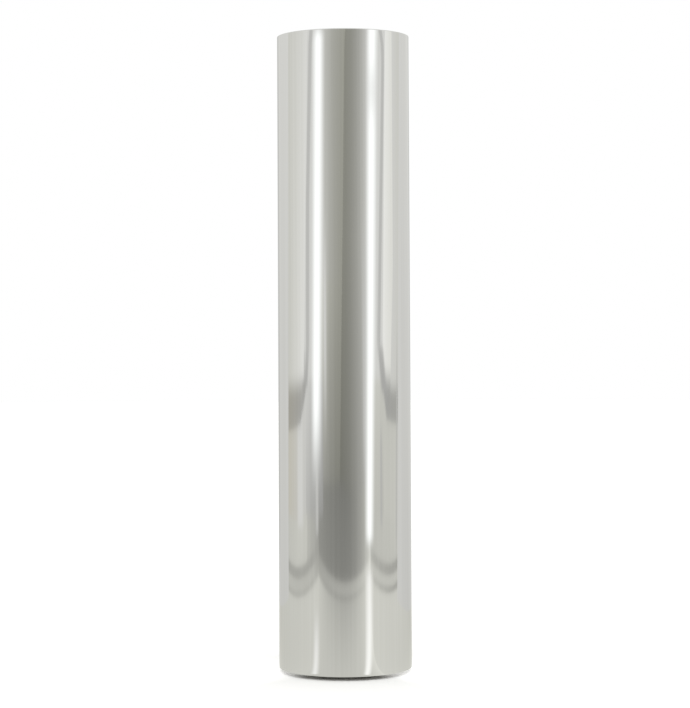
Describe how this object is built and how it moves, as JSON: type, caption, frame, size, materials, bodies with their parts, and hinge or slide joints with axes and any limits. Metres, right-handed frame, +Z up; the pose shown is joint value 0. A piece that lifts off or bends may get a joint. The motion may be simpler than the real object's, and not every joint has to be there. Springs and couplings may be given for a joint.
{
  "type": "foil roll",
  "caption": "Wide roll of bright silver foil film on a spiral paper core, standing on end, with an outer turn that unwinds and a taped free end that peels back.",
  "frame": {"origin": "centre of the core's lower end, on the roll's axis", "axes": "+Z up along the roll's axis; -Y towards the side that the picture shows; the foil's free end lies towards -X and +Y"},
  "size_m": [0.1044, 0.1052, 0.506],
  "materials": {
    "silver_foil": "polished",
    "kraft_paper": "matte",
    "liner_paper": "matte",
    "double_sided_tape": "satin",
    "paper_tape": "matte"
  },
  "bodies": {
    "roll": {"core_liner_ply": "liner_paper", "core_body_plies": "kraft_paper", "core_cover_ply": "kraft_paper", "start_tape": "double_sided_tape", "foil_winding": "silver_foil"},
    "outer_turn": {"foil_outer_turn": "silver_foil"},
    "tail": {"foil_tail": "silver_foil", "closing_tape": "paper_tape"}
  },
  "joints": [
    {"name": "unwind", "type": "hinge", "parent": "roll", "child": "outer_turn", "pos_m": [0, 0, 0], "axis": [0, 0, -1], "continuous": true},
    {"name": "tail_peel", "type": "hinge", "parent": "outer_turn", "child": "tail", "pos_m": [-0.01227, 0.05171, 0.253], "axis": [0, 0, -1], "range_deg": [0, 90], "stiffness_Nm_per_rad": 0.001}
  ]
}
